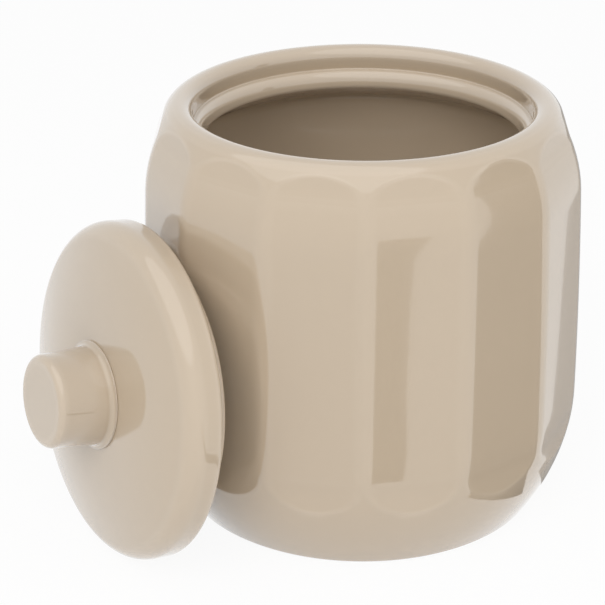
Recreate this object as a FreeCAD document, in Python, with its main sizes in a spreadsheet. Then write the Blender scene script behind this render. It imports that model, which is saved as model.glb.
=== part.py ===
import FreeCAD, Part
import math
import os
import Sketcher

# A glazed ceramic jar for cotton pads, with its lid taken off and leaning against the wall.
# Frame: +Z up, origin at the centre of the jar's base, the lid on the -X side, millimetres.
#
# The jar's outline is one chain of tangent arcs: foot edge, flank, bowed wall, shoulder, lip.
# Between two rows of arches its round section turns into flat panels with soft ridges.

SIZES = {
    # the jar's outline
    "jar_height": 98.5,
    "belly_radius": 52.6,
    "belly_height": 29.1,
    "foot_edge_radius": 1.5,
    "flank_radius": 51.1,
    "wall_bow_radius": 1160.0,
    "rim_top_radius": 42.45,
    "lip_outer_radius": 4.1,
    "lip_inner_radius": 2.9,
    # the panels between the arches, turned so that one ridge stands a little aside of -X
    "panel_count": 14,
    "ridge_turn": 6.5,
    "panel_low_height": 16.5,
    "panel_top_drop": 1.8,
    "low_arch_height": 7.0,
    "top_arch_height": 5.0,
    "ridge_radius": 9.0,
    "panel_bow_radius": 1083.0,
    # the inside and its gallery, the ledge that the lid sits on
    "wall_thickness": 5.2,
    "floor_thickness": 5.5,
    "floor_corner_radius": 16.0,
    "inner_shoulder_drop": 32.5,
    "inner_shoulder_radius": 50.0,
    "gallery_drop": 4.65,
    "gallery_radius": 36.9,
    "gallery_thickness": 5.6,
    "gallery_nose_radius": 2.2,
    "gallery_face_height": 1.9,
    "gallery_underside_rise": 3.5,
    # the lid's plate, its locating ring and its knob
    "lid_clearance": 0.45,
    "plate_edge_height": 8.9,
    "plate_low_round": 1.2,
    "plate_top_round": 4.5,
    "plate_crown": 3.1,
    "ring_clearance": 3.9,
    "ring_width": 4.0,
    "ring_height": 4.0,
    "ring_edge_round": 1.0,
    "knob_length": 13.1,
    "knob_base_radius": 11.3,
    "knob_end_radius": 10.7,
    "knob_end_round": 1.6,
    "knob_root_fillet": 1.2,
    "knob_seam_height": 0.5,
    # how the lid leans on the jar
    "lean_angle": 6.8,
    "lean_gap": 0.3,
    "lean_aside": 1.3,
}

DOWN = -math.pi / 2
OUT = 0.0
UP = math.pi / 2
IN = math.pi

doc = FreeCAD.newDocument("cotton_pad_jar")
sheet = doc.addObject("Spreadsheet::Sheet", "Sizes")
for row, (alias, value) in enumerate(SIZES.items(), start=1):
    sheet.set("A%d" % row, alias)
    sheet.set("B%d" % row, str(value))
    sheet.setAlias("B%d" % row, alias)
doc.recompute()


def size(alias):
    """A driving dimension as the sheet holds it."""
    return float(sheet.get(alias))


def bound(formula):
    """A formula of aliases, each written with the sheet's name in front of it."""
    words = []
    for word in formula.split():
        words.append("Sizes." + word if word in SIZES else word)
    return " ".join(words)


class Profile:
    """A closed half section in a body's XZ plane: x is the radius and y is the height."""

    def __init__(self, body, name):
        self.body = body
        self.sketch = body.newObject("Sketcher::SketchObject", name)
        plane = next(f for f in body.Origin.OriginFeatures if f.Role == "XZ_Plane")
        self.sketch.AttachmentSupport = [(plane, "")]
        self.sketch.MapMode = "FlatFace"
        self.ends = []

    def line(self, start, end):
        """A straight edge, drawn from where the last edge ended."""
        a = FreeCAD.Vector(start[0], start[1], 0)
        b = FreeCAD.Vector(end[0], end[1], 0)
        self.ends.append((1, 2))
        return self.sketch.addGeometry(Part.LineSegment(a, b))

    def arc(self, centre, radius, first, last):
        """A round edge from one angle to another, either way round."""
        circle = Part.Circle(FreeCAD.Vector(centre[0], centre[1], 0), FreeCAD.Vector(0, 0, 1), radius)
        self.ends.append((1, 2) if first < last else (2, 1))
        return self.sketch.addGeometry(Part.ArcOfCircle(circle, min(first, last), max(first, last)))

    def close(self, tangents=()):
        """Join each edge to the next, smoothly after the edges listed in tangents."""
        count = len(self.ends)
        for i in range(count):
            j = (i + 1) % count
            kind = "Tangent" if i in tangents else "Coincident"
            self.sketch.addConstraint(Sketcher.Constraint(kind, i, self.ends[i][1], j, self.ends[j][0]))

    def level(self, *edges):
        for edge in edges:
            self.sketch.addConstraint(Sketcher.Constraint("Horizontal", edge))

    def upright(self, *edges):
        for edge in edges:
            self.sketch.addConstraint(Sketcher.Constraint("Vertical", edge))

    def _bind(self, index, name, formula):
        self.sketch.renameConstraint(index, name)
        self.sketch.setExpression("Constraints." + name, bound(formula))

    def radius(self, edge, formula):
        value = self.sketch.Geometry[edge].Radius
        index = self.sketch.addConstraint(Sketcher.Constraint("Radius", edge, value))
        self._bind(index, "radius_%d" % edge, formula)

    def _point(self, edge, which):
        if which == "centre":
            return 3
        return self.ends[edge][0 if which == "start" else 1]

    def across(self, edge, which, formula):
        """The distance of a point from the axis."""
        point = self._point(edge, which)
        value = self.sketch.getPoint(edge, point).x
        index = self.sketch.addConstraint(Sketcher.Constraint("DistanceX", -1, 1, edge, point, value))
        self._bind(index, "across_%d_%s" % (edge, which), formula)

    def height(self, edge, which, formula):
        """The height of a point over the profile's origin."""
        point = self._point(edge, which)
        value = self.sketch.getPoint(edge, point).y
        index = self.sketch.addConstraint(Sketcher.Constraint("DistanceY", -1, 1, edge, point, value))
        self._bind(index, "height_%d_%s" % (edge, which), formula)

    def on_axis(self, edge, which):
        self.sketch.addConstraint(Sketcher.Constraint("PointOnObject", edge, self._point(edge, which), -2))

    def at_origin(self, edge, which):
        self.sketch.addConstraint(Sketcher.Constraint("Coincident", edge, self._point(edge, which), -1, 1))

    def revolve(self, name):
        """Turn the profile once round the body's upright axis."""
        turned = self.body.newObject("PartDesign::Revolution", name)
        turned.Profile = self.sketch
        turned.ReferenceAxis = (self.sketch, ["V_Axis"])
        turned.Angle = 360.0
        self.sketch.Visibility = False
        return turned


def new_body(label):
    body = doc.addObject("PartDesign::Body", label)
    body.Label = label
    return body


# ---------------------------------------------------------------- the jar's outline as numbers

class Outline:
    """The ridge line: its arcs in order, worked out from the driving dimensions."""

    def __init__(self):
        lip = size("lip_outer_radius")
        self.flank = (size("belly_radius") - size("flank_radius"), size("belly_height"))
        self.wall = (size("belly_radius") - size("wall_bow_radius"), size("belly_height"))
        self.lip = (size("rim_top_radius"), size("jar_height") - lip)
        # the lip starts where its arc reaches the panels' top, and the shoulder is tangent there
        self.lip_angle = math.asin((lip - size("panel_top_drop")) / lip)
        ray = (math.cos(self.lip_angle), math.sin(self.lip_angle))
        apart = (self.lip[0] - self.wall[0], self.lip[1] - self.wall[1])
        reach = size("wall_bow_radius") - lip
        along = apart[0] * ray[0] + apart[1] * ray[1]
        back = (apart[0] ** 2 + apart[1] ** 2 - reach ** 2) / (2 * (along - reach))
        self.shoulder_radius = back + lip
        self.shoulder = (self.lip[0] - back * ray[0], self.lip[1] - back * ray[1])
        # the wall's arc gives way to the shoulder's on the line through both centres
        slope = math.atan2(self.shoulder[1] - self.wall[1], self.shoulder[0] - self.wall[0])
        self.shoulder_height = self.wall[1] + size("wall_bow_radius") * math.sin(slope)
        # the height band of the panels
        self.low = size("panel_low_height")
        self.top = size("jar_height") - size("panel_top_drop")
        self.flatness = self.panel_flatness()

    def panel_flatness(self):
        """How much of the way to a flat face makes the panels' bow, taken at the belly."""
        half = math.pi / size("panel_count")
        belly = size("belly_radius")
        bow = (size("panel_bow_radius") - belly) / (belly - size("ridge_radius"))
        drop = 1 - math.cos(half)
        lean = math.cos(half) + bow
        return (math.hypot(lean, math.sqrt(2 * drop * bow)) - lean) / drop

    def radius(self, height):
        """The radius of the ridge line at a height between the panels' ends."""
        if height < self.flank[1]:
            centre, arc = self.flank, size("flank_radius")
        elif height < self.shoulder_height:
            centre, arc = self.wall, size("wall_bow_radius")
        else:
            centre, arc = self.shoulder, self.shoulder_radius
        return centre[0] + math.sqrt(arc ** 2 - (height - centre[1]) ** 2)

    def panel_share(self, height):
        """How far a section has turned from round (0) to panelled (1): the arches' outline."""
        low = (height - self.low) / size("low_arch_height")
        top = (self.top - height) / size("top_arch_height")
        return math.sin(UP * max(0.0, min(1.0, low, top)))


class Section:
    """A ring of equal face arcs and ridge arcs, tangent to each other, at one height."""

    def __init__(self, outline, height):
        self.height = height
        self.half = math.pi / size("panel_count")
        self.bearing = math.pi + math.radians(size("ridge_turn"))
        flat = outline.flatness
        self.ridge = outline.radius(height)
        # the ridge arc's centre moves out from the axis as the panels grow
        self.offset = outline.panel_share(height) * (self.ridge - size("ridge_radius"))
        drop = 1 - math.cos(self.half)
        self.panel = self.ridge - flat * self.offset * drop
        # tangency of the two arcs fixes the face arc's centre and the angle where they meet
        back = flat * (drop + (flat * drop + 2 * math.cos(self.half)) / (2 * (1 - flat)))
        self.back = back * self.offset
        self.meet = math.atan2(math.sin(self.half), math.cos(self.half) + back)
        self.round = self.ridge - self.offset

    def point(self, panel, angle, on_ridge):
        """A point on panel's face arc, or on the ridge arc after it, at a normal's angle."""
        middle = self.bearing + 2 * self.half * (panel + 0.5)
        turned = middle + angle
        if on_ridge:
            seat = middle + self.half
            centre = (self.offset * math.cos(seat), self.offset * math.sin(seat))
            arc = self.round
        else:
            centre = (-self.back * math.cos(middle), -self.back * math.sin(middle))
            arc = self.panel + self.back
        x = centre[0] + arc * math.cos(turned)
        y = centre[1] + arc * math.sin(turned)
        return FreeCAD.Vector(x, y, self.height)

    def wire(self):
        edges = []
        for panel in range(int(size("panel_count"))):
            for start, end, on_ridge in ((-self.meet, self.meet, False),
                                         (self.meet, 2 * self.half - self.meet, True)):
                points = [self.point(panel, a, on_ridge) for a in (start, (start + end) / 2, end)]
                edges.append(Part.Arc(*points).toShape())
        return Part.Wire(edges)


# ---------------------------------------------------------------- the jar

def panel_wall(outline):
    """The panelled stretch between the rows of arches, as one smooth loft."""
    low, low_arch = outline.low, size("low_arch_height")
    top, top_arch = outline.top, size("top_arch_height")
    # sections crowd towards an arch's tip, where the section changes fastest
    arch_shares = (0.0, 0.1, 0.25, 0.45, 0.7, 1.0)
    wall_parts = 8
    plain = top - top_arch - low - low_arch
    heights = [low + low_arch * share for share in arch_shares]
    for part in range(1, wall_parts):
        heights.append(low + low_arch + plain * part / wall_parts)
    heights += [top - top_arch * share for share in reversed(arch_shares)]
    wires = [Section(outline, height).wire() for height in heights]
    wall = doc.addObject("Part::Feature", "panel_wall")
    wall.Shape = Part.makeLoft(wires, True, False)
    return wall


def jar_ends(outline):
    """The foot and the lip, turned in one piece with a waist that lies inside the panels."""
    body = new_body("jar_ends")
    edge = size("foot_edge_radius")
    flank = size("flank_radius")
    lip = size("lip_outer_radius")
    waist = size("gallery_radius")
    low, top = outline.low, outline.top
    # the foot's small arc touches the base from above and the flank's arc from inside
    drop = outline.flank[1] - edge
    edge_x = outline.flank[0] + math.sqrt((flank - edge) ** 2 - drop ** 2)
    edge_end = math.atan2(-drop, edge_x - outline.flank[0])
    flank_end = -math.asin((outline.flank[1] - low) / flank)
    low_x = outline.radius(low)
    top_x = outline.radius(top)
    p = Profile(body, "ends_profile")
    base = p.line((0, 0), (edge_x, 0))
    foot = p.arc((edge_x, edge), edge, DOWN, edge_end)
    side = p.arc(outline.flank, flank, edge_end, flank_end)
    step_in = p.line((low_x, low), (waist, low))
    rise = p.line((waist, low), (waist, top))
    step_out = p.line((waist, top), (top_x, top))
    rim = p.arc(outline.lip, lip, outline.lip_angle, UP)
    cover = p.line((size("rim_top_radius"), size("jar_height")), (0, size("jar_height")))
    axis = p.line((0, size("jar_height")), (0, 0))
    p.close(tangents=(base, foot, rim))
    p.level(base, step_in, step_out)
    p.upright(rise, axis)
    p.at_origin(base, "start")
    p.radius(foot, "foot_edge_radius")
    p.radius(side, "flank_radius")
    p.across(side, "centre", "belly_radius - flank_radius")
    p.height(side, "centre", "belly_height")
    p.height(side, "end", "panel_low_height")
    p.across(rise, "start", "gallery_radius")
    p.height(rise, "end", "jar_height - panel_top_drop")
    p.radius(rim, "lip_outer_radius")
    p.across(rim, "centre", "rim_top_radius")
    p.height(rim, "centre", "jar_height - lip_outer_radius")
    p.level(cover)
    p.revolve("ends_turned")
    return body


def jar_inside():
    """The hollow: floor, wall, shoulder, the gallery's nose and the recess over it."""
    body = new_body("jar_inside")
    floor = size("floor_thickness")
    corner = size("floor_corner_radius")
    wall_x = size("belly_radius") - size("wall_thickness")
    turn = size("jar_height") - size("inner_shoulder_drop")
    bend = size("inner_shoulder_radius")
    nose = size("gallery_nose_radius")
    under = size("gallery_thickness") - nose - size("gallery_face_height")
    ledge = size("jar_height") - size("gallery_drop")
    nose_z = ledge - nose
    low_z = nose_z - size("gallery_face_height")
    gallery = size("gallery_radius")
    meet_z = ledge - size("gallery_thickness") - size("gallery_underside_rise")
    meet = math.asin((meet_z - turn) / bend)
    meet_x = wall_x - bend + bend * math.cos(meet)
    recess_x = size("rim_top_radius") - size("lip_inner_radius")
    lip = size("lip_inner_radius")
    high = size("jar_height") + size("lip_outer_radius")
    # the underside's line leaves the shoulder and touches the nose's lower arc from below
    away = (gallery + under - meet_x, low_z - meet_z)
    reach = math.hypot(*away)
    heading = math.atan2(away[1], away[0]) - math.asin(under / reach)
    facing = heading + UP
    touch_point = (gallery + under + under * math.cos(facing), low_z + under * math.sin(facing))
    p = Profile(body, "inside_profile")
    bottom = p.line((0, floor), (wall_x - corner, floor))
    curve = p.arc((wall_x - corner, floor + corner), corner, DOWN, OUT)
    wall = p.line((wall_x, floor + corner), (wall_x, turn))
    shoulder = p.arc((wall_x - bend, turn), bend, OUT, meet)
    underside = p.line((meet_x, meet_z), touch_point)
    low_nose = p.arc((gallery + under, low_z), under, facing % (2 * math.pi), IN)
    face = p.line((gallery, low_z), (gallery, nose_z))
    top_nose = p.arc((gallery + nose, nose_z), nose, IN, UP)
    seat = p.line((gallery + nose, ledge), (recess_x, ledge))
    recess = p.line((recess_x, ledge), (recess_x, size("jar_height") - lip))
    rim = p.arc((recess_x + lip, size("jar_height") - lip), lip, IN, UP)
    riser = p.line((recess_x + lip, size("jar_height")), (recess_x + lip, high))
    cover = p.line((recess_x + lip, high), (0, high))
    axis = p.line((0, high), (0, floor))
    p.close(tangents=(bottom, curve, wall, underside, top_nose, recess))
    p.level(bottom, seat, cover)
    p.upright(wall, face, recess, riser, axis)
    p.on_axis(bottom, "start")
    p.height(bottom, "start", "floor_thickness")
    p.radius(curve, "floor_corner_radius")
    p.across(wall, "end", "belly_radius - wall_thickness")
    p.height(wall, "end", "jar_height - inner_shoulder_drop")
    p.radius(shoulder, "inner_shoulder_radius")
    p.height(shoulder, "end", "jar_height - gallery_drop - gallery_thickness - gallery_underside_rise")
    p.radius(low_nose, "gallery_thickness - gallery_nose_radius - gallery_face_height")
    p.across(low_nose, "end", "gallery_radius")
    p.height(low_nose, "end", "jar_height - gallery_drop - gallery_nose_radius - gallery_face_height")
    p.height(low_nose, "centre", "jar_height - gallery_drop - gallery_nose_radius - gallery_face_height")
    p.height(face, "end", "jar_height - gallery_drop - gallery_nose_radius")
    p.radius(top_nose, "gallery_nose_radius")
    p.height(top_nose, "centre", "jar_height - gallery_drop - gallery_nose_radius")
    p.across(seat, "end", "rim_top_radius - lip_inner_radius")
    p.radius(rim, "lip_inner_radius")
    p.across(rim, "end", "rim_top_radius")
    p.height(rim, "end", "jar_height")
    p.height(riser, "end", "jar_height + lip_outer_radius")
    p.revolve("inside_turned")
    return body


def make_jar(outline):
    outside = doc.addObject("Part::MultiFuse", "jar_outside")
    outside.Shapes = [panel_wall(outline), jar_ends(outline)]
    jar = doc.addObject("Part::Cut", "jar_body")
    jar.Base = outside
    jar.Tool = jar_inside()
    jar.Label = "jar_body"
    return jar


# ---------------------------------------------------------------- the lid, drawn as it sits

def lid_plate():
    """The plate: flat below, a rounded edge, a low crown and a flat landing for the knob."""
    body = new_body("lid_plate")
    rim = size("rim_top_radius") - size("lip_inner_radius") - size("lid_clearance")
    low, top = size("plate_low_round"), size("plate_top_round")
    edge, crown = size("plate_edge_height"), size("plate_crown")
    landing = size("knob_base_radius") + size("knob_root_fillet")
    span = rim - top - landing
    crown_radius = top + (span ** 2 + crown ** 2) / (2 * crown)
    lean = math.atan2(crown_radius - top - crown, span)
    p = Profile(body, "plate_profile")
    base = p.line((0, 0), (rim - low, 0))
    low_edge = p.arc((rim - low, low), low, DOWN, OUT)
    side = p.line((rim, low), (rim, edge - top))
    top_edge = p.arc((rim - top, edge - top), top, OUT, lean)
    dome = p.arc((landing, edge + crown - crown_radius), crown_radius, lean, UP)
    flat = p.line((landing, edge + crown), (0, edge + crown))
    axis = p.line((0, edge + crown), (0, 0))
    p.close(tangents=(base, low_edge, side, top_edge, dome))
    p.level(flat)
    p.upright(side, axis)
    p.level(base)
    p.at_origin(base, "start")
    p.radius(low_edge, "plate_low_round")
    p.across(side, "end", "rim_top_radius - lip_inner_radius - lid_clearance")
    p.radius(top_edge, "plate_top_round")
    p.height(top_edge, "centre", "plate_edge_height - plate_top_round")
    p.across(flat, "start", "knob_base_radius + knob_root_fillet")
    p.height(flat, "end", "plate_edge_height + plate_crown")
    p.revolve("plate_turned")
    return body


def lid_locating_ring():
    """The ring under the plate that drops inside the gallery, with two rounded edges."""
    body = new_body("lid_locating_ring")
    outer = size("gallery_radius") - size("ring_clearance")
    inner = outer - size("ring_width")
    tall, bend = size("ring_height"), size("ring_edge_round")
    p = Profile(body, "ring_profile")
    inside = p.line((inner, 0), (inner, bend - tall))
    inner_edge = p.arc((inner + bend, bend - tall), bend, IN, IN - DOWN)
    foot = p.line((inner + bend, -tall), (outer - bend, -tall))
    outer_edge = p.arc((outer - bend, bend - tall), bend, DOWN, OUT)
    outside = p.line((outer, bend - tall), (outer, 0))
    root = p.line((outer, 0), (inner, 0))
    p.close(tangents=(inside, inner_edge, foot, outer_edge))
    p.level(foot, root)
    p.upright(inside, outside)
    p.across(inside, "start", "gallery_radius - ring_clearance - ring_width")
    p.sketch.addConstraint(Sketcher.Constraint("PointOnObject", inside, 1, -1))
    p.radius(inner_edge, "ring_edge_round")
    p.height(foot, "end", "- ring_height")
    p.radius(outer_edge, "ring_edge_round")
    p.across(outside, "end", "gallery_radius - ring_clearance")
    p.revolve("ring_turned")
    return body


def lid_knob():
    """The knob: a seam line, a concave root, a slightly tapered side and a rounded end."""
    body = new_body("lid_knob")
    base, end = size("knob_base_radius"), size("knob_end_radius")
    root, bend = size("knob_root_fillet"), size("knob_end_round")
    seam, tall = size("knob_seam_height"), size("knob_length")
    p = Profile(body, "knob_profile")
    foot = p.line((0, 0), (base + root, 0))
    seam_edge = p.line((base + root, 0), (base + root, seam))
    hollow = p.arc((base + root, seam + root), root, IN - DOWN, IN)
    side = p.line((base, seam + root), (end, tall - bend))
    end_edge = p.arc((end - bend, tall - bend), bend, OUT, UP)
    face = p.line((end - bend, tall), (0, tall))
    axis = p.line((0, tall), (0, 0))
    p.close(tangents=(hollow, side, end_edge))
    p.level(foot, face)
    p.upright(seam_edge, axis)
    p.at_origin(foot, "start")
    p.across(seam_edge, "end", "knob_base_radius + knob_root_fillet")
    p.height(seam_edge, "end", "knob_seam_height")
    p.radius(hollow, "knob_root_fillet")
    p.across(hollow, "centre", "knob_base_radius + knob_root_fillet")
    p.radius(end_edge, "knob_end_round")
    p.across(end_edge, "centre", "knob_end_radius - knob_end_round")
    p.height(face, "end", "knob_length")
    p.revolve("knob_turned")
    return body


def leaning_place(outline):
    """Where the lid stands: its edge on the floor and its ring against one of the jar's ridges."""
    lean = math.radians(size("lean_angle"))
    aside = size("lean_aside")
    rim = size("rim_top_radius") - size("lip_inner_radius") - size("lid_clearance")
    low = size("plate_low_round")
    floor_to_centre = (rim - low) * math.cos(lean) - low * math.sin(lean) + low
    # the ring's rounded edge is the lid's nearest part to the jar
    bend = size("ring_edge_round")
    reach = size("gallery_radius") - size("ring_clearance") - bend
    depth = size("ring_height") - bend
    # it meets the ridge's arc where that arc faces it squarely, a little aside of the lid's axis
    ridge = Section(outline, floor_to_centre + reach * math.cos(lean) - depth * math.sin(lean))
    sideways = ridge.offset * math.sin(ridge.bearing) - aside
    rise = math.sqrt(reach ** 2 - sideways ** 2)
    ridge = Section(outline, floor_to_centre + rise * math.cos(lean) - depth * math.sin(lean))
    wall = ridge.offset * math.cos(ridge.bearing) - ridge.round
    stand_off = bend + size("lean_gap")
    centre_x = wall - stand_off - rise * math.sin(lean) - depth * math.cos(lean)
    turn = FreeCAD.Rotation(FreeCAD.Vector(0, 1, 0), size("lean_angle") - 90)
    return FreeCAD.Placement(FreeCAD.Vector(centre_x, aside, floor_to_centre), turn)


# ---------------------------------------------------------------- build, check and write

outline = Outline()
jar = make_jar(outline)
plate = lid_plate()
ring = lid_locating_ring()
knob = lid_knob()
place = leaning_place(outline)
plate.Placement = place
ring.Placement = place
landing_height = size("plate_edge_height") + size("plate_crown")
knob.Placement = place * FreeCAD.Placement(FreeCAD.Vector(0, 0, landing_height), FreeCAD.Rotation())
doc.recompute()

for item in doc.Objects:
    if "Invalid" in item.State or "Error" in item.State:
        raise RuntimeError("%s did not build: %s" % (item.Label, item.State))

nodes = [jar, plate, ring, knob]
for node in nodes:
    shape = node.Shape
    if shape.isNull() or not shape.isValid() or len(shape.Solids) != 1:
        raise RuntimeError("%s is not one valid solid" % node.Label)

os.makedirs("parts", exist_ok=True)
for node in nodes:
    node.Shape.exportStep("parts/%s.step" % node.Label)
    box = node.Shape.BoundBox
    print("%-18s %9.0f mm3  x %.2f..%.2f  y %.2f..%.2f  z %.2f..%.2f" % (
        node.Label, node.Shape.Volume, box.XMin, box.XMax, box.YMin, box.YMax, box.ZMin, box.ZMax))
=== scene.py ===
# %% [markdown]
# # A lidded ceramic jar, in Blender
# The jar is slip-cast, with softly flattened panels round its wall, and it is covered in a glossy
# beige glaze. Its lid is off and leans against it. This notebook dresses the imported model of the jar:
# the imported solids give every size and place, and each cell adds one piece or one finish.
# Lengths are written in millimetres, as a potter would say them, and turned into metres once.

import math

import bpy
import numpy as np
from mathutils import Matrix, Vector, noise


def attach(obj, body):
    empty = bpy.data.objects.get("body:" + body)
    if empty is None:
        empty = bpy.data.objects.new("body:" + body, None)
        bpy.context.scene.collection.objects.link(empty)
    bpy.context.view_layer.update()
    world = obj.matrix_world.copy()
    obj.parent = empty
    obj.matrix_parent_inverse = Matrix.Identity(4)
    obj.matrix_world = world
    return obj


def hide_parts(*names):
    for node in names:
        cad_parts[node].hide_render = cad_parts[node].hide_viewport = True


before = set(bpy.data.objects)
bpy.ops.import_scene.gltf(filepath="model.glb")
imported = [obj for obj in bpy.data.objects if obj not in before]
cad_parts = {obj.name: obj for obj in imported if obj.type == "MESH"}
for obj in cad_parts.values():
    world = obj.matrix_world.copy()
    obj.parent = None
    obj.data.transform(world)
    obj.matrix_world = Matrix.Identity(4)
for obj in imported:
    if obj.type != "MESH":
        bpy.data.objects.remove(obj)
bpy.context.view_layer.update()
MM = 0.001

# %% [markdown]
# ## The sizes of the jar
# The jar stands about as high as it is wide, and its lid fits the recess in its mouth. The sizes
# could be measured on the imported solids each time, but a potter's list is easier to follow. So they
# are written here once, equal to those of the solids, and the finer mesh lies where they are.
# The outline is a chain of arcs that touch smoothly: foot edge, flank, bowed wall, shoulder, lip.

# %% Sizes, in millimetres
HEIGHT = 98.5
BELLY, BELLY_Z = 52.6, 29.1
FOOT_EDGE, FLANK, WALL_BOW = 1.5, 51.1, 1160.0
RIM_TOP, LIP_OUT, LIP_IN = 42.45, 4.1, 2.9
PANELS, PANEL_LOW, PANEL_TOP = 14, 16.5, 96.7
FIRST_RIDGE = math.radians(186.5)
RIDGE_ROUND, PANEL_BOW = 9.0, 1083.0
LOW_ARCH, TOP_ARCH = 7.0, 5.0
WALL, FLOOR, FLOOR_CORNER = 5.2, 5.5, 16.0
INNER_SHOULDER_Z, INNER_SHOULDER = 66.0, 50.0
GALLERY, GALLERY_DROP, GALLERY_THICK = 36.9, 4.65, 5.6
GALLERY_NOSE, GALLERY_FACE, GALLERY_RISE = 2.2, 1.9, 3.5
LID_RIM, LID_EDGE, LID_CROWN = 39.1, 8.9, 3.1
LID_LOW_ROUND, LID_TOP_ROUND = 1.2, 4.5
RING_OUT, RING_WIDE, RING_TALL, RING_ROUND = 33.0, 4.0, 4.0, 1.0
KNOB_TALL, KNOB_BASE, KNOB_END = 13.1, 11.3, 10.7
KNOB_ROUND, KNOB_ROOT, KNOB_SEAM = 1.6, 1.2, 0.5
LEAN = math.radians(6.8)
LID_PLACE = (-59.617, 1.3, 38.6913)
print("jar", 2 * BELLY, "mm across and", HEIGHT, "mm high; lid", 2 * LID_RIM, "mm across")

# %% [markdown]
# ## Drawing a profile
# A thrown or cast round thing is one line turned about an axis. That line could be a Bezier curve
# with a Screw modifier. Here it is a list of (radius, height) points, because then each arc can get
# as many points as it needs: a glossy surface shows every flat facet as a kink in its reflections.

# %% Arc and line helpers
QUARTER = math.pi / 2


def arc(centre, radius, first, last, count):
    """Points along an arc in the (radius, height) plane, both ends included."""
    angles = np.linspace(first, last, count)
    return [(centre[0] + radius * math.cos(a), centre[1] + radius * math.sin(a)) for a in angles]


def line(start, end, count):
    """Points along a straight run, without its two ends."""
    steps = np.linspace(0, 1, count + 2)[1:-1]
    return [(start[0] + (end[0] - start[0]) * s, start[1] + (end[1] - start[1]) * s) for s in steps]


quarter_round = arc((0, 0), LIP_OUT, 0, QUARTER, 5)
print("the lip's round in five points:", [(round(r, 2), round(z, 2)) for r, z in quarter_round])

# %% [markdown]
# ## The ridge line
# Seen from the side, the soft ridges between the panels follow the barrel of the jar. The line could
# be traced by eye, but a traced line wobbles. As arcs it stays smooth, and only the shoulder's arc has
# to be worked out, because it touches the bowed wall below it and the lip above it.

# %% The ridge line's arcs
flank_centre = (BELLY - FLANK, BELLY_Z)
wall_centre = (BELLY - WALL_BOW, BELLY_Z)
lip_centre = (RIM_TOP, HEIGHT - LIP_OUT)
lip_angle = math.asin((PANEL_TOP - lip_centre[1]) / LIP_OUT)
lip_ray = (math.cos(lip_angle), math.sin(lip_angle))
apart = (lip_centre[0] - wall_centre[0], lip_centre[1] - wall_centre[1])
reach = WALL_BOW - LIP_OUT
along = apart[0] * lip_ray[0] + apart[1] * lip_ray[1]
back = (apart[0] ** 2 + apart[1] ** 2 - reach ** 2) / (2 * (along - reach))
SHOULDER = back + LIP_OUT
shoulder_centre = (lip_centre[0] - back * lip_ray[0], lip_centre[1] - back * lip_ray[1])
slope = math.atan2(shoulder_centre[1] - wall_centre[1], shoulder_centre[0] - wall_centre[0])
SHOULDER_Z = wall_centre[1] + WALL_BOW * math.sin(slope)


def ridge_radius(z):
    """The radius of the ridge line at a height."""
    if z < BELLY_Z:
        centre, radius = flank_centre, FLANK
    elif z < SHOULDER_Z:
        centre, radius = wall_centre, WALL_BOW
    else:
        centre, radius = shoulder_centre, SHOULDER
    return centre[0] + math.sqrt(radius ** 2 - (z - centre[1]) ** 2)


print("shoulder starts at", round(SHOULDER_Z, 2), "mm, its arc is", round(SHOULDER, 2), "mm")

# %% [markdown]
# ## The panels and their arches
# Each panel is nearly flat, so its middle lies a little under 1 mm inside the ridges. At its ends the
# panel runs out into the round shoulder and flank. Where a flat cut leaves a round surface the edge is
# an arch, and that is how it is made here: the cut gets shallower towards the panel's end, and the
# arch is simply the line where no depth is left. A soft minimum rounds that line as glaze does.

# %% How deep the panels lie under the ridge line
half = math.pi / PANELS
drop = 1 - math.cos(half)
bow = (PANEL_BOW - BELLY) / (BELLY - RIDGE_ROUND)
lean_in = math.cos(half) + bow
flatness = (math.hypot(lean_in, math.sqrt(2 * drop * bow)) - lean_in) / drop
back_share = flatness * (drop + (flatness * drop + 2 * math.cos(half)) / (2 * (1 - flatness)))
face_angle = math.atan2(math.sin(half), math.cos(half) + back_share)


def panel_depth(angle, ridge):
    """Depth under the ridge line at an angle from the panel's middle, for a ridge radius."""
    offset = ridge - RIDGE_ROUND
    face = ridge - flatness * offset * drop
    behind = back_share * offset
    t = abs(angle)
    on_face = -behind * math.cos(t) + math.sqrt((face + behind) ** 2 - (behind * math.sin(t)) ** 2)
    end = math.atan2((face + behind) * math.sin(face_angle), (face + behind) * math.cos(face_angle) - behind)
    if t <= end:
        return ridge - on_face
    s = half - t
    return ridge - offset * math.cos(s) - math.sqrt(RIDGE_ROUND ** 2 - (offset * math.sin(s)) ** 2)


ARCH_SOFT = 0.05
DEEPEST = panel_depth(0.0, BELLY)


def arch_cut(depth, z):
    """What is left of a panel's depth near its ends, with the arch's edge softened."""
    share = max(0.0, min(1.0, (z - PANEL_LOW) / LOW_ARCH, (PANEL_TOP - z) / TOP_ARCH))
    left = depth - DEEPEST * (1 - math.sin(QUARTER * share))
    return (left + math.hypot(left, ARCH_SOFT)) / 2 - (math.hypot(depth, ARCH_SOFT) - depth) / 2


print("a panel's middle lies", round(DEEPEST, 3), "mm inside the ridges")

# %% [markdown]
# ## The jar's outside
# The outside goes from the hollow under the foot, round the foot's edge and up the panelled wall.
# Rings at even heights would be simple, but most of them would lie where the wall is plain. So rings
# crowd where the arches are, and the mesh spends its points where the light turns quickly.

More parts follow.
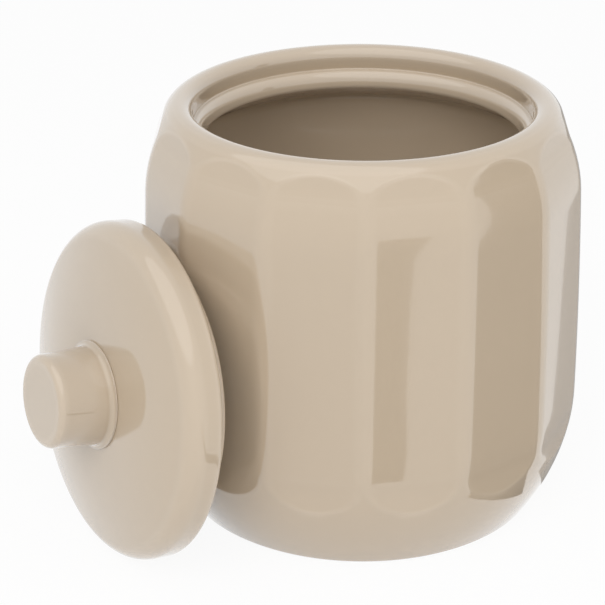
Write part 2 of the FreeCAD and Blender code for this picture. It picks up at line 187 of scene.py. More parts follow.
# %% The rings of the foot and the panels
outer_edge_x = flank_centre[0] + math.sqrt((FLANK - FOOT_EDGE) ** 2 - (BELLY_Z - FOOT_EDGE) ** 2)
edge_end = math.atan2(FOOT_EDGE - BELLY_Z, outer_edge_x - flank_centre[0])
flank_end = -math.asin((BELLY_Z - PANEL_LOW) / FLANK)
FOOT_RING, FOOT_HOLLOW, HOLLOW_RIM, HOLLOW_ROUND = 38.0, 0.7, 35.0, 1.4
foot = line((0, FOOT_HOLLOW), (HOLLOW_RIM, FOOT_HOLLOW), 6)
foot += arc((HOLLOW_RIM, FOOT_HOLLOW - HOLLOW_ROUND), HOLLOW_ROUND, QUARTER, math.radians(30), 5)
foot += line((FOOT_RING, 0), (outer_edge_x, 0), 3)
foot += arc((outer_edge_x, FOOT_EDGE), FOOT_EDGE, -QUARTER, edge_end, 8)
foot += arc(flank_centre, FLANK, edge_end, flank_end, 14)[1:-1]

ARCH_MARGIN, ROWS = 1.5, 34
above_low_arch, below_top_arch = PANEL_LOW + LOW_ARCH + ARCH_MARGIN, PANEL_TOP - TOP_ARCH - ARCH_MARGIN
panel_heights = list(np.linspace(PANEL_LOW, above_low_arch, ROWS))
panel_heights += list(np.linspace(above_low_arch, below_top_arch, ROWS))[1:-1]
panel_heights += list(np.linspace(below_top_arch, PANEL_TOP, ROWS))
print(len(foot), "rings under the panels and", len(panel_heights), "on them")

# %% [markdown]
# ## The jar's mouth and inside
# The line goes on over the lip, down the recess, round the gallery's nose and down the inside to the
# floor. The gallery is the inner ledge that carries the lid. Its nose could have the solid's two small
# rounds with a face between them, but glaze flows such rounds together. So it is drawn as one long
# round, a quarter of an ellipse, that lies just inside the solid's nose.

# %% The rings of the mouth and the inside
ledge = HEIGHT - GALLERY_DROP
nose_z = ledge - GALLERY_NOSE
low_z = nose_z - GALLERY_FACE
under = GALLERY_THICK - GALLERY_NOSE - GALLERY_FACE
inner_x = BELLY - WALL
meet_z = ledge - GALLERY_THICK - GALLERY_RISE
meet = math.asin((meet_z - INNER_SHOULDER_Z) / INNER_SHOULDER)
meet_x = inner_x - INNER_SHOULDER + INNER_SHOULDER * math.cos(meet)
recess_x = RIM_TOP - LIP_IN

# the undercut is a straight line from the inner shoulder that touches the nose's low round
away = (GALLERY + under - meet_x, low_z - meet_z)
heading = math.atan2(away[1], away[0]) - math.asin(under / math.hypot(*away))
facing = (heading + QUARTER) % (2 * math.pi)
touch = (GALLERY + under + under * math.cos(facing), low_z + under * math.sin(facing))

# the nose's long round ends a little under the solid's ledge, where the recess has a small corner
LEDGE_ROUND, NOSE_SAG = 0.4, 0.9
nose_top = ledge - NOSE_SAG
corner_x = recess_x - LEDGE_ROUND
nose_out, nose_tall = corner_x - GALLERY, nose_top - low_z

inside = arc(lip_centre, LIP_OUT, lip_angle, QUARTER, 14)[1:]
inside += arc((recess_x + LIP_IN, HEIGHT - LIP_IN), LIP_IN, QUARTER, math.pi, 12)[1:]
inside += line((recess_x, HEIGHT - LIP_IN), (recess_x, nose_top + LEDGE_ROUND), 3)
inside += arc((corner_x, nose_top + LEDGE_ROUND), LEDGE_ROUND, 0, -QUARTER, 6)
for a in np.linspace(QUARTER, math.pi, 24):
    inside.append((corner_x + nose_out * math.cos(a), low_z + nose_tall * math.sin(a)))
inside += arc((GALLERY + under, low_z), under, math.pi, facing, 10)[1:]
inside += line(touch, (meet_x, meet_z), 3)
inside += arc((inner_x - INNER_SHOULDER, INNER_SHOULDER_Z), INNER_SHOULDER, meet, 0, 14)
inside += line((inner_x, INNER_SHOULDER_Z), (inner_x, FLOOR + FLOOR_CORNER), 12)
inside += arc((inner_x - FLOOR_CORNER, FLOOR + FLOOR_CORNER), FLOOR_CORNER, 0, -QUARTER, 14)
inside += line((inner_x - FLOOR_CORNER, FLOOR), (0, FLOOR), 8)
print(len(inside), "rings inside")
print("the nose is", round(nose_out, 2), "mm wide and", round(nose_tall, 2), "mm tall")

# %% [markdown]
# ## From rings to a mesh
# A cast wall has no seams, so its mesh shouldn't have any. Panels and mouth could be cut out of a
# turned body with Boolean modifiers, but their long thin faces spoil a glossy surface. Here every
# ring has the same number of points, so the skin is a grid of quads closed by one point at each end
# of the axis, and nothing is cut or joined afterwards.

# %% Skin over rings
def skin(name, rings, low_point, high_point):
    """A closed mesh over rings of equal length, with a point on the axis at each end."""
    count = len(rings[0])
    points = [low_point] + [p for ring in rings for p in ring] + [high_point]
    faces = [(0, 1 + (i + 1) % count, 1 + i) for i in range(count)]
    for r in range(len(rings) - 1):
        a, b = 1 + r * count, 1 + (r + 1) * count
        for i in range(count):
            j = (i + 1) % count
            faces.append((a + i, a + j, b + j, b + i))
    last, top = 1 + (len(rings) - 1) * count, len(points) - 1
    faces += [(last + i, last + (i + 1) % count, top) for i in range(count)]
    mesh = bpy.data.meshes.new(name)
    mesh.from_pydata([tuple(v * MM for v in p) for p in points], [], faces)
    mesh.polygons.foreach_set("use_smooth", [True] * len(mesh.polygons))
    mesh.update()
    piece = bpy.data.objects.new(name, mesh)
    bpy.context.scene.collection.objects.link(piece)
    print(name, "has", len(mesh.vertices), "points and", len(mesh.polygons), "faces")
    return piece


# %% [markdown]
# ## A cast wall is never quite true
# Plaster moulds, drying and firing leave a wall that wanders by a few hundredths of a millimetre.
# It is far too little to see as a shape, but it is what makes the long reflections on a glazed pot
# waver. A Bump node could fake it, but its reflections would jump at the outline. So the points
# themselves move, and only inwards, so that the jar stays within its size.

# %% The wander of the wall
WANDER, WANDER_LENGTH, WANDER_UPRIGHT, WANDER_GAIN = 0.05, 26.0, 0.6, 1.6


def wander(x, y, z):
    """A slow unevenness from 0 to WANDER millimetres."""
    value = noise.noise(Vector((x, y, z * WANDER_UPRIGHT)) / WANDER_LENGTH)
    return WANDER * (0.5 + 0.5 * max(-1.0, min(1.0, value * WANDER_GAIN)))


print("at the belly the wall wanders by", round(wander(BELLY, 0, BELLY_Z), 3), "mm")

# %% [markdown]
# ## The jar
# The rings of foot, wall and inside now become one skin. Its columns could stand at even angles, but
# the wall turns only at the fourteen ridges, so they crowd there and leave the flat panels plain.

# %% The jar's skin
COLUMNS, CROWDING = 30, 1.35
steps = np.linspace(-1, 1, COLUMNS + 1)[:-1]
in_panel = [half * math.copysign(1 - (1 - abs(s)) ** CROWDING, s) for s in steps]
columns = [(FIRST_RIDGE + 2 * half * (panel + 0.5) + t, t) for panel in range(PANELS) for t in in_panel]


def round_ring(radius, z, uneven):
    """A round ring of the foot or the inside; uneven says whether it wanders."""
    ring = []
    for angle, _ in columns:
        x, y = radius * math.cos(angle), radius * math.sin(angle)
        r = radius - (wander(x, y, z) if uneven else 0.0)
        ring.append((r * math.cos(angle), r * math.sin(angle), z))
    return ring


def panel_ring(z):
    """A ring of the panelled wall at a height."""
    ridge = ridge_radius(z)
    ring = []
    for angle, t in columns:
        r = ridge - max(0.0, arch_cut(panel_depth(t, ridge), z))
        r -= wander(r * math.cos(angle), r * math.sin(angle), z)
        ring.append((r * math.cos(angle), r * math.sin(angle), z))
    return ring


rings = [round_ring(r, z, z > FOOT_EDGE) for r, z in foot]
rings += [panel_ring(z) for z in panel_heights]
rings += [round_ring(r, z, z < HEIGHT - 0.5) for r, z in inside]
jar = skin("jar_shell", rings, (0, 0, FOOT_HOLLOW), (0, 0, FLOOR))
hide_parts("jar_body")
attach(jar, "jar")

# %% [markdown]
# ## The lid's plate
# The lid was made as three pieces and joined before glazing: the plate, the locating ring under it
# and the knob. Each could be a scaled cylinder with a Bevel modifier, but then its edges would all be
# alike. So each is one profile turned about its axis, tipped back by the lean and set on the floor
# beside the jar. The plate has a thick round edge and a low crown.

# %% Turning and placing the lid's pieces, and the plate
AROUND = 256
lid_matrix = Matrix.Translation(Vector(LID_PLACE)) @ Matrix.Rotation(LEAN - QUARTER, 4, "Y")


def turned(name, profile, low, high, lift=0.0):
    """A profile turned round the lid's axis and set in the lid's leaning place."""
    place = lid_matrix @ Matrix.Translation((0, 0, lift))
    turn = [2 * math.pi * i / AROUND for i in range(AROUND)]
    made = []
    for r, z in profile:
        made.append([tuple(place @ Vector((r * math.cos(a), r * math.sin(a), z))) for a in turn])
    piece = skin(name, made, tuple(place @ Vector((0, 0, low))), tuple(place @ Vector((0, 0, high))))
    return piece


landing = KNOB_BASE + KNOB_ROOT
span = LID_RIM - LID_TOP_ROUND - landing
crown_radius = LID_TOP_ROUND + (span ** 2 + LID_CROWN ** 2) / (2 * LID_CROWN)
edge_lean = math.atan2(crown_radius - LID_TOP_ROUND - LID_CROWN, span)
plate_profile = line((0, 0), (LID_RIM - LID_LOW_ROUND, 0), 12)
plate_profile += arc((LID_RIM - LID_LOW_ROUND, LID_LOW_ROUND), LID_LOW_ROUND, -QUARTER, 0, 8)
plate_profile += line((LID_RIM, LID_LOW_ROUND), (LID_RIM, LID_EDGE - LID_TOP_ROUND), 4)
plate_profile += arc((LID_RIM - LID_TOP_ROUND, LID_EDGE - LID_TOP_ROUND), LID_TOP_ROUND, 0, edge_lean, 14)
crown_centre = (landing, LID_EDGE + LID_CROWN - crown_radius)
plate_profile += arc(crown_centre, crown_radius, edge_lean, QUARTER, 24)[1:]
plate_profile += line((landing, LID_EDGE + LID_CROWN), (0, LID_EDGE + LID_CROWN), 4)
plate = turned("lid_disc", plate_profile, 0.0, LID_EDGE + LID_CROWN)
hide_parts("lid_plate")
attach(plate, "lid")

# %% [markdown]
# ## The knob
# The knob was cast apart and stuck on with slip. It keeps its seam as a thin raised line, and above
# it glaze has filled the corner to a small concave root. A cylinder that sinks into the plate would
# lose both, so the seam and the root are arcs of the knob's own profile.

# %% The knob, with its seam and its concave root
SEAM_ROUND = 0.2
knob_side = math.atan2(KNOB_TALL - KNOB_ROUND - KNOB_SEAM - KNOB_ROOT, KNOB_END - KNOB_BASE) - QUARTER
knob_profile = [(landing - SEAM_ROUND, 0.0)]
knob_profile += arc((landing - SEAM_ROUND, SEAM_ROUND), SEAM_ROUND, -QUARTER, QUARTER, 8)[1:]
knob_profile += arc((landing, KNOB_SEAM + KNOB_ROOT), KNOB_ROOT, -QUARTER, -math.pi, 12)
knob_profile += line((KNOB_BASE, KNOB_SEAM + KNOB_ROOT), (KNOB_END, KNOB_TALL - KNOB_ROUND), 10)
knob_profile += arc((KNOB_END - KNOB_ROUND, KNOB_TALL - KNOB_ROUND), KNOB_ROUND, 0, QUARTER, 12)
knob_profile += line((KNOB_END - KNOB_ROUND, KNOB_TALL), (0, KNOB_TALL), 6)
knob = turned("lid_handle", knob_profile, 0.0, KNOB_TALL, LID_EDGE + LID_CROWN)
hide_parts("lid_knob")
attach(knob, "lid")

# %% [markdown]
# ## The locating ring
# A plain ring under the plate keeps the lid from sliding off the jar. It could be a torus, but a cast
# ring has straight walls and a rounded lower rim. It is a profile like the others, with its upper rim
# flat against the plate.

# %% The locating ring under the plate
ring_in = RING_OUT - RING_WIDE
ring_profile = [(ring_in, 0.0)]
ring_profile += line((ring_in, 0), (ring_in, RING_ROUND - RING_TALL), 3)
ring_profile += arc((ring_in + RING_ROUND, RING_ROUND - RING_TALL), RING_ROUND, math.pi, 3 * QUARTER, 8)
ring_profile += arc((RING_OUT - RING_ROUND, RING_ROUND - RING_TALL), RING_ROUND, -QUARTER, 0, 8)
ring_profile += line((RING_OUT, RING_ROUND - RING_TALL), (RING_OUT, 0), 3)
ring_profile += [(RING_OUT, 0.0)]
locator = turned("lid_ring", ring_profile, 0.0, 0.0)
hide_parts("lid_locating_ring")
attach(locator, "lid")

# %% [markdown]
# ## Helpers for nodes
# Glaze, clay, table and tent are all made of shader nodes. They could be set up by hand in the
# editor, but then nobody can read how. These few functions add a node, a socket, a sum or a mix.

# %% Helpers that add nodes and sockets
def group_socket(group, name, kind, value=None, out=False):
    """Adds an input or an output to a node group."""
    socket = group.interface.new_socket(name=name, in_out="OUTPUT" if out else "INPUT", socket_type=kind)
    if value is not None:
        socket.default_value = value


def node(tree, kind, place, **values):
    """Adds a node at a place in the editor, with some of its settings."""
    made = tree.nodes.new(kind)
    made.location = place
    for name, value in values.items():
        setattr(made, name, value)
    return made


def math_node(tree, operation, place, first, second):
    """A Math node with sockets or numbers as its two inputs."""
    made = node(tree, "ShaderNodeMath", place, operation=operation)
    for index, value in enumerate((first, second)):
        if isinstance(value, (int, float)):
            made.inputs[index].default_value = value
        else:
            tree.links.new(value, made.inputs[index])
    return made.outputs[0]


def blend_colour(tree, place, share, first, second):
    """A colour mix driven by a mask."""
    made = node(tree, "ShaderNodeMix", place, data_type="RGBA")
    tree.links.new(share, made.inputs[0])
    tree.links.new(first, made.inputs[6])
    tree.links.new(second, made.inputs[7])
    return made.outputs[2]


print("materials so far:", len(bpy.data.materials))

# %% [markdown]
# ## A node group for the glaze's colour
# One bucket of glaze never fires to one flat colour. It runs thin over edges, where the clay shows
# through warmer and lighter, and it gathers in hollows, where it is deeper. Slow clouds and fine specks
# come from the melt. All this could be painted as an image, but nodes stay sharp at any distance. The
# group takes the colours and gives back a colour and a roughness, so that the jar and the lid share
# one recipe with their own values.

# %% The glaze group
glaze = bpy.data.node_groups.new("glaze_colour", "ShaderNodeTree")
for name, value in (("Glaze", (0.6, 0.5, 0.4, 1)), ("Thin", (0.7, 0.6, 0.5, 1)),
                    ("Pool", (0.5, 0.4, 0.3, 1))):
    group_socket(glaze, name, "NodeSocketColor", value)
for name, value in (("Thin Mask", 0.0), ("Pool Mask", 0.0), ("Cloud Scale", 40.0), ("Cloud Amount", 0.3),
                    ("Gloss Roughness", 0.1)):
    group_socket(glaze, name, "NodeSocketFloat", value)
group_socket(glaze, "Colour", "NodeSocketColor", out=True)
group_socket(glaze, "Roughness", "NodeSocketFloat", out=True)
given = node(glaze, "NodeGroupInput", (-1100, 0))
result = node(glaze, "NodeGroupOutput", (700, 0))
spot = node(glaze, "ShaderNodeTexCoord", (-1100, -400))
clouds = node(glaze, "ShaderNodeTexNoise", (-850, -300))
clouds.inputs["Detail"].default_value = 3.0
glaze.links.new(spot.outputs["Object"], clouds.inputs["Vector"])
glaze.links.new(given.outputs["Cloud Scale"], clouds.inputs["Scale"])
cloud_mask = math_node(glaze, "MULTIPLY", (-600, -300), clouds.outputs["Fac"], given.outputs["Cloud Amount"])
specks = node(glaze, "ShaderNodeTexNoise", (-850, -600))
specks.inputs["Scale"].default_value = 1400.0
specks.inputs["Detail"].default_value = 2.0
glaze.links.new(spot.outputs["Object"], specks.inputs["Vector"])
speck_mask = node(glaze, "ShaderNodeMapRange", (-600, -600))
for index, value in ((1, 0.62), (2, 0.74), (3, 0.0), (4, 0.16)):
    speck_mask.inputs[index].default_value = value
glaze.links.new(specks.outputs["Fac"], speck_mask.inputs[0])
pooled = math_node(glaze, "MAXIMUM", (-400, -300), given.outputs["Pool Mask"], cloud_mask)
pooled = math_node(glaze, "MAXIMUM", (-250, -400), pooled, speck_mask.outputs[0])
deep = blend_colour(glaze, (-50, 100), pooled, given.outputs["Glaze"], given.outputs["Pool"])
toned = blend_colour(glaze, (200, 100), given.outputs["Thin Mask"], deep, given.outputs["Thin"])
glaze.links.new(toned, result.inputs["Colour"])
rough = math_node(glaze, "MULTIPLY", (100, -250), clouds.outputs["Fac"], 0.05)
rough = math_node(glaze, "ADD", (300, -250), rough, given.outputs["Gloss Roughness"])
glaze.links.new(rough, result.inputs["Roughness"])
print("glaze_colour group has", len(glaze.nodes), "nodes")

# %% [markdown]
# ## A node group for the glaze's skin
# Fired glaze is smooth but not a mirror: it has a faint orange-peel from bubbles that broke and
# healed. Displacing the mesh would need far more points than the jar has, so the group gives a small
# height that goes to a Bump node in each material.

# %% The orange-peel group
peel = bpy.data.node_groups.new("glaze_peel", "ShaderNodeTree")
group_socket(peel, "Scale", "NodeSocketFloat", 500.0)
group_socket(peel, "Height", "NodeSocketFloat", out=True)
given = node(peel, "NodeGroupInput", (-700, 0))
result = node(peel, "NodeGroupOutput", (300, 0))
spot = node(peel, "ShaderNodeTexCoord", (-700, -200))
dimples = node(peel, "ShaderNodeTexNoise", (-450, 0))
dimples.inputs["Detail"].default_value = 1.5
peel.links.new(spot.outputs["Object"], dimples.inputs["Vector"])
peel.links.new(given.outputs["Scale"], dimples.inputs["Scale"])
swell = node(peel, "ShaderNodeTexNoise", (-450, -300))
swell.inputs["Scale"].default_value = 90.0
swell.inputs["Detail"].default_value = 1.0
peel.links.new(spot.outputs["Object"], swell.inputs["Vector"])
swells = math_node(peel, "MULTIPLY", (-200, -300), swell.outputs["Fac"], 2.0)
peel.links.new(math_node(peel, "ADD", (0, 0), dimples.outputs["Fac"], swells), result.inputs["Height"])
print("glaze_peel group has", len(peel.nodes), "nodes")

# %% [markdown]
# ## Where the glaze runs thin and where it pools
# Glaze drains from an edge and gathers in a corner. The Geometry node's Pointiness tells them apart
# too, but it depends on how dense the mesh is. So the mesh's own curvature is measured once and
# written on each point as two attributes: an outward bend is an edge, an inward bend a corner.

# %% Curvature as attributes
THIN_BEND, POOL_BEND = 350.0, 250.0


def mark_edges(piece):
    """Writes thin and pool masks from how fast the normals spread along each edge."""
    mesh = piece.data
    count = len(mesh.vertices)
    co = np.zeros(count * 3)
    no = np.zeros(count * 3)
    mesh.vertices.foreach_get("co", co)
    mesh.vertices.foreach_get("normal", no)
    co, no = co.reshape(-1, 3), no.reshape(-1, 3)
    ends = np.zeros(len(mesh.edges) * 2, dtype=np.int64)
    mesh.edges.foreach_get("vertices", ends)
    a, b = ends.reshape(-1, 2).T
    step = co[b] - co[a]
    length = np.maximum(np.linalg.norm(step, axis=1), 1e-6)
    bend = ((no[b] - no[a]) * step).sum(axis=1) / length ** 2
    out = np.full(count, -1e9)
    into = np.full(count, 1e9)
    for end in (a, b):
        np.maximum.at(out, end, bend)
        np.minimum.at(into, end, bend)
    thin, pool = np.clip(out / THIN_BEND, 0, 1), np.clip(-into / POOL_BEND, 0, 1)
    for name, mask in (("glaze_thin", thin), ("glaze_pool", pool)):
        layer = mesh.attributes.new(name, "FLOAT", "POINT")
        layer.data.foreach_set("value", mask.astype(np.float32))
    print(piece.name, "thin", round(float(thin.mean()), 3), "pool", round(float(pool.mean()), 3))


for piece in (jar, plate, knob, locator):
    mark_edges(piece)

# %% [markdown]
# ## The glaze material
# Under the glassy top of a glaze lies a coloured, slightly rougher layer. One glossy layer alone
# leaves the colour too deep, so the Principled shader gets a soft base and a sharp coat, and together
# they lay a pale veil over it. Values that are the same all over sit on the shader's own sockets.

# %% Building the glaze material
def glaze_material(name, colour, thin, pool):
    """A glossy glaze with its colour, and its colours where it is thin and where it pools."""
    material = bpy.data.materials.new(name)
    material.use_nodes = True
    tree = material.node_tree
    tree.nodes.clear()
    out = node(tree, "ShaderNodeOutputMaterial", (700, 0))
    shader = node(tree, "ShaderNodeBsdfPrincipled", (400, 0))
    tone = node(tree, "ShaderNodeGroup", (0, 100), node_tree=glaze)
    for socket, value in (("Glaze", colour), ("Thin", thin), ("Pool", pool)):
        tone.inputs[socket].default_value = (*value, 1)
    tone.inputs["Cloud Scale"].default_value = 45.0
    tone.inputs["Cloud Amount"].default_value = 0.25
    tone.inputs["Gloss Roughness"].default_value = 0.06
    for place, mask, socket in ((150, "glaze_thin", "Thin Mask"), (-50, "glaze_pool", "Pool Mask")):
        layer = node(tree, "ShaderNodeAttribute", (-300, place), attribute_name=mask)
        tree.links.new(layer.outputs["Fac"], tone.inputs[socket])
    skin_height = node(tree, "ShaderNodeGroup", (-100, -300), node_tree=peel)
    skin_height.inputs["Scale"].default_value = 420.0
    bump = node(tree, "ShaderNodeBump", (150, -300))
    bump.inputs["Strength"].default_value = 0.35
    bump.inputs["Distance"].default_value = 0.00003
    tree.links.new(skin_height.outputs["Height"], bump.inputs["Height"])
    tree.links.new(tone.outputs["Colour"], shader.inputs["Base Color"])
    tree.links.new(tone.outputs["Roughness"], shader.inputs["Roughness"])
    tree.links.new(bump.outputs["Normal"], shader.inputs["Normal"])
    shader.inputs["IOR"].default_value = 1.6
    shader.inputs["Coat Weight"].default_value = 1.0
    shader.inputs["Coat Roughness"].default_value = 0.03
    tree.links.new(shader.outputs[0], out.inputs[0])
    return material


BEIGE, THIN_BEIGE, DEEP_BEIGE = (0.51, 0.41, 0.30), (0.54, 0.44, 0.33), (0.48, 0.38, 0.27)
jar_glaze = glaze_material("jar_glaze_beige", BEIGE, THIN_BEIGE, DEEP_BEIGE)
lid_glaze = glaze_material("lid_glaze_beige", BEIGE, THIN_BEIGE, DEEP_BEIGE)
print("glaze materials:", jar_glaze.name, lid_glaze.name)

# %% [markdown]
# ## Bare clay
# Glaze would weld a pot to the kiln shelf, so the foot is wiped clean, and so is the bottom of the
# lid's ring. The bare body is paler, matt and slightly gritty. It could be a mask in the glaze's
# nodes, but a wiped edge is sharp, so the faces that touch the shelf get a material of their own.

# %% The bare clay material
def clay_material(name):
    """Matt fired clay with fine grit."""
    material = bpy.data.materials.new(name)
    material.use_nodes = True
    tree = material.node_tree
    shader = tree.nodes["Principled BSDF"]
    spot = node(tree, "ShaderNodeTexCoord", (-900, 0))
    grit = node(tree, "ShaderNodeTexNoise", (-650, 0))
    grit.inputs["Scale"].default_value = 900.0
    grit.inputs["Detail"].default_value = 4.0
    tree.links.new(spot.outputs["Object"], grit.inputs["Vector"])
    ramp = node(tree, "ShaderNodeValToRGB", (-400, 100))
    ramp.color_ramp.elements[0].color = (0.62, 0.56, 0.48, 1)
    ramp.color_ramp.elements[1].color = (0.74, 0.69, 0.61, 1)
    tree.links.new(grit.outputs["Fac"], ramp.inputs["Fac"])
    tree.links.new(ramp.outputs["Color"], shader.inputs["Base Color"])
    bump = node(tree, "ShaderNodeBump", (-300, -250))
    bump.inputs["Strength"].default_value = 0.5
    bump.inputs["Distance"].default_value = 0.00006
    tree.links.new(grit.outputs["Fac"], bump.inputs["Height"])
    tree.links.new(bump.outputs["Normal"], shader.inputs["Normal"])
    shader.inputs["Roughness"].default_value = 0.85
    return material


clay = clay_material("bare_clay")
print("clay material:", clay.name)

# %% [markdown]
# ## Dipping and wiping
# Each piece is dipped in the glaze whole, and the foot and the ring's rim are wiped afterwards. The
# clay could go on pieces of its own, but a wiped ring is part of the same wall, so it is a second
# material slot on the faces that lie there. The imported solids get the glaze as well.

# %% Giving each piece its finish
for piece, finish in ((jar, jar_glaze), (plate, lid_glaze), (knob, lid_glaze), (locator, lid_glaze)):
    piece.data.materials.append(finish)
jar.data.materials.append(clay)
locator.data.materials.append(clay)
FOOT_WIPE, RING_WIPE = 0.3, 0.15
for face in jar.data.polygons:
    across = math.hypot(face.center.x, face.center.y) / MM
    if face.center.z < FOOT_WIPE * MM and FOOT_RING < across:
        face.material_index = 1
to_lid = lid_matrix.inverted()
for face in locator.data.polygons:
    if (to_lid @ (face.center / MM)).z < RING_WIPE - RING_TALL:
        face.material_index = 1
for piece in (jar, locator):
    print(piece.name, "has", sum(face.material_index for face in piece.data.polygons), "bare faces")
for solid, finish in (("jar_body", jar_glaze), ("lid_plate", lid_glaze), ("lid_knob", lid_glaze),
                      ("lid_locating_ring", lid_glaze)):
    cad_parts[solid].data.materials.clear()
    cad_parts[solid].data.materials.append(finish)

# %% [markdown]
# ## The table and the background
# The jar stands on a plain white table that runs back into white. More light would make it white
# too, but it would wash out the jar. So for rays from the camera or from a reflection the table shows
# mostly its own white, mixed with its lit surface, and the jar still throws a soft shadow on it.

# %% The table
TABLE_REACH, TABLE_COLOUR, TABLE_GLOW = 4.0, 0.9, 0.93


def seen_share(tree, x, y):
    """One for rays from the camera, a reflection or a clear piece, and zero for rays that only light."""
    path = node(tree, "ShaderNodeLightPath", (x, y))
    camera_ray, glossy_ray = path.outputs["Is Camera Ray"], path.outputs["Is Glossy Ray"]
    direct = math_node(tree, "MAXIMUM", (x + 200, y), camera_ray, glossy_ray)
    return math_node(tree, "MAXIMUM", (x + 350, y), direct, path.outputs["Is Transmission Ray"])


mesh = bpy.data.meshes.new("table")
table_corners = [(x * TABLE_REACH, y * TABLE_REACH, 0) for x, y in ((-1, -1), (1, -1), (1, 1), (-1, 1))]
mesh.from_pydata(table_corners, [], [(0, 1, 2, 3)])
table = bpy.data.objects.new("table", mesh)
bpy.context.scene.collection.objects.link(table)
material = bpy.data.materials.new("table_white")
material.use_nodes = True
tree = material.node_tree
tree.nodes.clear()
out = node(tree, "ShaderNodeOutputMaterial", (600, 0))
lit = node(tree, "ShaderNodeBsdfDiffuse", (0, 100))
lit.inputs["Color"].default_value = (TABLE_COLOUR, TABLE_COLOUR, TABLE_COLOUR, 1)
white = node(tree, "ShaderNodeEmission", (0, -100))
share = math_node(tree, "MULTIPLY", (120, 300), seen_share(tree, -400, 300), TABLE_GLOW)
mixed = node(tree, "ShaderNodeMixShader", (350, 0))
tree.links.new(share, mixed.inputs[0])
tree.links.new(lit.outputs[0], mixed.inputs[1])
tree.links.new(white.outputs[0], mixed.inputs[2])
tree.links.new(mixed.outputs[0], out.inputs[0])
mesh.materials.append(material)
print("the table is", 2 * TABLE_REACH, "m wide and", TABLE_GLOW, "of it is plain white")

# %% [markdown]
# ## The room
# Product photographs of glossy ware are taken in a white tent. The tent could be a mesh dome, but a
# world of one colour does the same with nothing in the lamps' way. Its walls are white to the camera
# and in every reflection, and they fill the shadows with a little under half of that as light.

# %% The room's walls
ROOM_LIGHT = 0.43
world = bpy.data.worlds.new("studio")
bpy.context.scene.world = world
world.use_nodes = True
tree = world.node_tree
tree.nodes.clear()
out = node(tree, "ShaderNodeOutputWorld", (500, 0))
room = node(tree, "ShaderNodeBackground", (300, 0))
room.inputs["Color"].default_value = (1, 1, 1, 1)
white_walls = math_node(tree, "MULTIPLY", (0, 0), seen_share(tree, -500, 0), 1.0 - ROOM_LIGHT)
tree.links.new(math_node(tree, "ADD", (150, 0), white_walls, ROOM_LIGHT), room.inputs["Strength"])
tree.links.new(room.outputs[0], out.inputs[0])
print("the room gives", ROOM_LIGHT, "of white as light")

# %% [markdown]
# ## Studio light
# One large softbox hangs high over the jar and draws the broad highlight on the shoulder and on the
# lid's edge. The two others only add light: they stand outside the tent, so the glaze doesn't mirror
# them. One in front shines over the near rim on the far side of the inside, and one is on the right.
# A sun lamp would do for the brightness, but its small hard highlights look wrong on glaze.

# %% Softboxes
VIEW_AZIMUTH = math.radians(236.76)
AIM_HEIGHT = 0.05


def around(azimuth, distance, height):
    """A place round the jar: azimuth in degrees to the right of the camera."""
    a = VIEW_AZIMUTH + math.radians(azimuth)
    return (distance * math.cos(a), distance * math.sin(a), height)


def softbox(name, place, width, tall, power, shown):
    """A soft lamp that faces the jar; shown says whether the glaze mirrors it."""
    lamp = bpy.data.lights.new(name, "AREA")
    lamp.shape = "ELLIPSE"
    lamp.size, lamp.size_y = width, tall
    lamp.energy = power
    stand = bpy.data.objects.new(name, lamp)
    stand.location = place
    stand.rotation_mode = "QUATERNION"
    stand.rotation_quaternion = (Vector((0, 0, AIM_HEIGHT)) - Vector(place)).to_track_quat("-Z", "Y")
    stand.visible_glossy = shown
    bpy.context.scene.collection.objects.link(stand)
    print(name, power, "W")


softbox("softbox_above", around(-32, 0.5, 1.1), 2.0, 1.5, 4.2, True)
softbox("softbox_front", around(-12, 1.0, 0.8), 1.2, 0.8, 7.4, False)
softbox("softbox_right", around(80, 0.9, 0.35), 0.45, 1.0, 1.9, False)

# %% [markdown]
# ## Dark cards
# A white tent alone makes glossy ware look flat. Photographers lay dark cards on the table beside it,
# and each panel works as a flat mirror that shows one of them. The bands could be painted on the
# glaze, but then they wouldn't move as the jar is seen from other sides. The card on the right, with
# one that stands at its end, darkens the panel there. A grey one behind dims the last panel, and a
# narrow one in front draws the dark band beside the front ridge. Between the cards the white table
# shows as one long bright line. The cards show in reflections only: they are hidden from the camera
# and throw no shadow, as a retoucher would take them out.

# %% The cards' material
def card_material(name, dark, pale):
    """Matt card with a faint fibre in it, between two greys."""
    material = bpy.data.materials.new(name)
    material.use_nodes = True
    tree = material.node_tree
    paper = tree.nodes["Principled BSDF"]
    fibres = node(tree, "ShaderNodeTexNoise", (-500, 0))
    fibres.inputs["Scale"].default_value = 300.0
    ramp = node(tree, "ShaderNodeValToRGB", (-300, 0))
    ramp.color_ramp.elements[0].color = (dark, dark, dark, 1)
    ramp.color_ramp.elements[1].color = (pale, pale, pale, 1)
    tree.links.new(fibres.outputs["Fac"], ramp.inputs["Fac"])
    tree.links.new(ramp.outputs["Color"], paper.inputs["Base Color"])
    paper.inputs["Roughness"].default_value = 0.9
    return material


card_dark = card_material("card_dark", 0.12, 0.16)
card_grey = card_material("card_grey", 0.54, 0.6)
print("card materials:", card_dark.name, card_grey.name)

# %% [markdown]
# ## Where the cards lie
# A mirror shows what lies where the turned-back line of sight meets the table, and for each panel
# that is one narrow strip. A round sheet would be easier to cut, but it would show in all the panels
# at once. So each card is a flat shape that follows one panel's strip, narrow near the jar and wider
# farther off.

# %% Cards on the table
CARD_LIFT, CARD_TALL = 0.3, 220


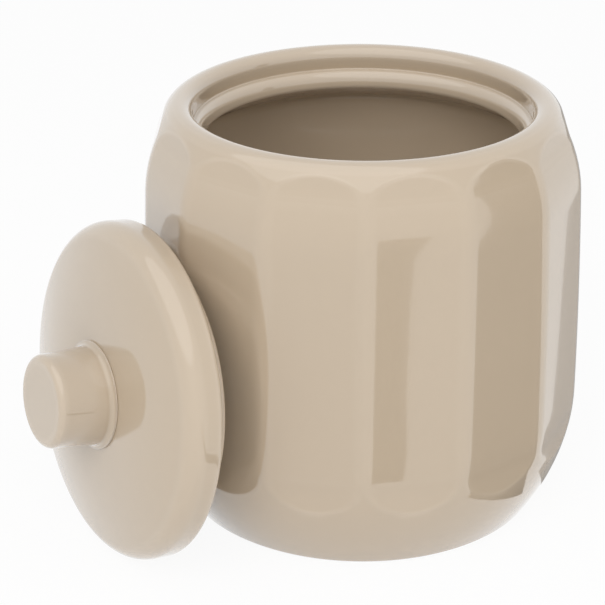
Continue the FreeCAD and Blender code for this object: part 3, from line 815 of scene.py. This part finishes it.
def card(name, corners, material):
    """A card; corners are millimetres to the right of the camera's line, towards the camera, and up."""
    across = VIEW_AZIMUTH + QUARTER
    points = []
    for right, near, up in corners:
        x = right * math.cos(across) + near * math.cos(VIEW_AZIMUTH)
        y = right * math.sin(across) + near * math.sin(VIEW_AZIMUTH)
        points.append((x * MM, y * MM, up * MM))
    mesh = bpy.data.meshes.new(name)
    mesh.from_pydata(points, [], [tuple(range(len(points)))])
    made = bpy.data.objects.new(name, mesh)
    bpy.context.scene.collection.objects.link(made)
    mesh.materials.append(material)
    made.visible_camera = made.visible_diffuse = made.visible_shadow = False


def lying(corners):
    """Lays a card's corners just above the table."""
    return [(right, near, CARD_LIFT) for right, near in corners]


RIGHT_CARD = [(40, 50), (47, 23), (150, 25), (300, 36), (300, 92), (120, 66)]
RIGHT_END = [(300, 36, 0), (300, 92, 0), (300, 92, CARD_TALL), (300, 36, CARD_TALL)]
BEHIND_CARD = [(56, 14), (70, -1), (118, -52), (211, -150), (900, -850), (200, -870), (90, -160), (62, -60),
               (45, -10), (44, 6)]
FRONT_CARD = [(17, 83), (27.6, 80.6), (59, 138), (121, 248), (560, 1020), (500, 1060), (102, 253), (46, 141)]
card("card_right", lying(RIGHT_CARD), card_dark)
card("card_right_standing", RIGHT_END, card_dark)
card("card_behind", lying(BEHIND_CARD), card_grey)
card("card_front", lying(FRONT_CARD), card_dark)
print("card_right lies from", RIGHT_CARD[0][0], "to", RIGHT_CARD[3][0], "mm to the right of the jar's axis")

# %% [markdown]
# ## The camera
# A long lens from above, as in a product photograph, so that the jar's sides stay nearly parallel. It
# could be aimed with a Track To constraint, but the photograph's camera looks a little past the jar
# and is turned by 0.17 of a degree. Its place and direction come from the jar's outline there, and
# the turn is written as a matrix of its three directions.

# %% The camera
camera_data = bpy.data.cameras.new("camera")
camera = bpy.data.objects.new("camera", camera_data)
bpy.context.scene.collection.objects.link(camera)
bpy.context.scene.camera = camera
camera_data.sensor_width = 36.0
camera_data.lens = 119.0
camera_data.dof.use_dof = False
CAMERA_BACK, CAMERA_UP = 442.2, 245.6
FORWARD_AZIMUTH, PITCH, ROLL = math.radians(58.59), math.radians(-24.24), math.radians(-0.17)
camera.location = (CAMERA_BACK * MM * math.cos(VIEW_AZIMUTH), CAMERA_BACK * MM * math.sin(VIEW_AZIMUTH),
                   CAMERA_UP * MM)
forward = Vector((math.cos(PITCH) * math.cos(FORWARD_AZIMUTH), math.cos(PITCH) * math.sin(FORWARD_AZIMUTH),
                  math.sin(PITCH)))
right = forward.cross(Vector((0, 0, 1))).normalized()
up = right.cross(forward)
rolled_right = right * math.cos(ROLL) + up * math.sin(ROLL)
rolled_up = up * math.cos(ROLL) - right * math.sin(ROLL)
turn = Matrix((rolled_right, rolled_up, -forward)).transposed()
camera.rotation_mode = "QUATERNION"
camera.rotation_quaternion = turn.to_quaternion()
camera_data.clip_start, camera_data.clip_end = 0.01, 50.0
bpy.context.scene.view_settings.view_transform = "Standard"
print("the camera is", round(camera.location.length, 3), "m from the jar's foot")
